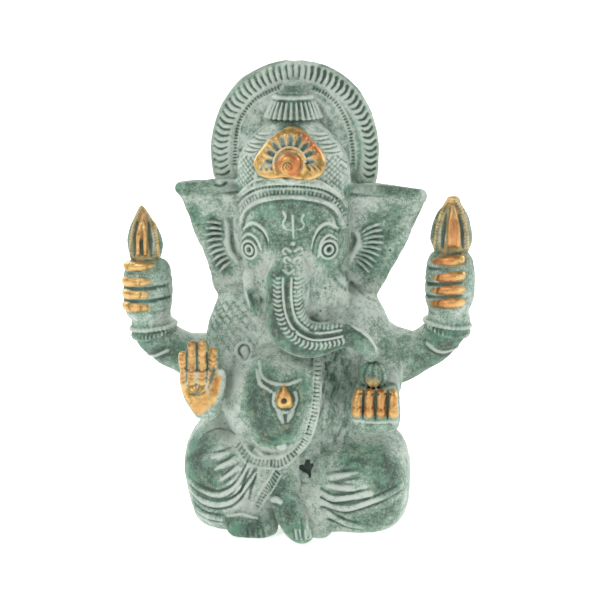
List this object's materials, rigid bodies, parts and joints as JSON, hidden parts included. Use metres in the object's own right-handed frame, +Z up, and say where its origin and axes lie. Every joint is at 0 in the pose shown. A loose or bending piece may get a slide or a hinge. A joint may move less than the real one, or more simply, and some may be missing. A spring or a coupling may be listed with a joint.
{
  "type": "seated elephant-headed deity figurine",
  "caption": "Cast brass figurine of a seated elephant-headed deity with several arms, a tall crown and an oval halo, standing on a flat base.",
  "frame": {"origin": "middle of the base, on the surface that the figure stands on", "axes": "+Z up, -Y towards the viewer that the figure faces, +X towards the figure's own left hand"},
  "size_m": [0.1143, 0.0594, 0.1502],
  "materials": {
    "patinated_brass": "green verdigris patina under a rubbed pale grey wash, matt",
    "polished_brass": "hand-rubbed golden and copper highlights, semi-gloss",
    "gilded_hand": "green patina with fingers and palm rubbed back to golden brass"
  },
  "bodies": {
    "root": {"brow_band": "patinated_brass", "crown": "patinated_brass", "crown_band": "patinated_brass", "crown_finial": "patinated_brass", "crown_jewel": "polished_brass", "crown_ornament": "polished_brass", "crown_skirt": "patinated_brass", "halo": "patinated_brass", "head": "patinated_brass", "left_bud": "polished_brass", "left_ear": "patinated_brass", "left_leg": "patinated_brass", "left_shin": "patinated_brass", "lower_left_arm": "patinated_brass", "lower_left_hand": "gilded_hand", "lower_right_arm": "patinated_brass", "lower_right_hand": "gilded_hand", "navel_ornament": "polished_brass", "pleat_drape": "patinated_brass", "right_bud": "polished_brass", "right_ear": "patinated_brass", "right_foot": "patinated_brass", "right_leg": "patinated_brass", "right_tusk": "patinated_brass", "sash": "patinated_brass", "sweet": "patinated_brass", "torso": "patinated_brass", "trunk": "patinated_brass", "upper_left_arm": "patinated_brass", "upper_left_bracelet": "patinated_brass", "upper_left_hand": "gilded_hand", "upper_right_arm": "patinated_brass", "upper_right_bracelet": "patinated_brass", "upper_right_hand": "gilded_hand"}
  },
  "joints": []
}
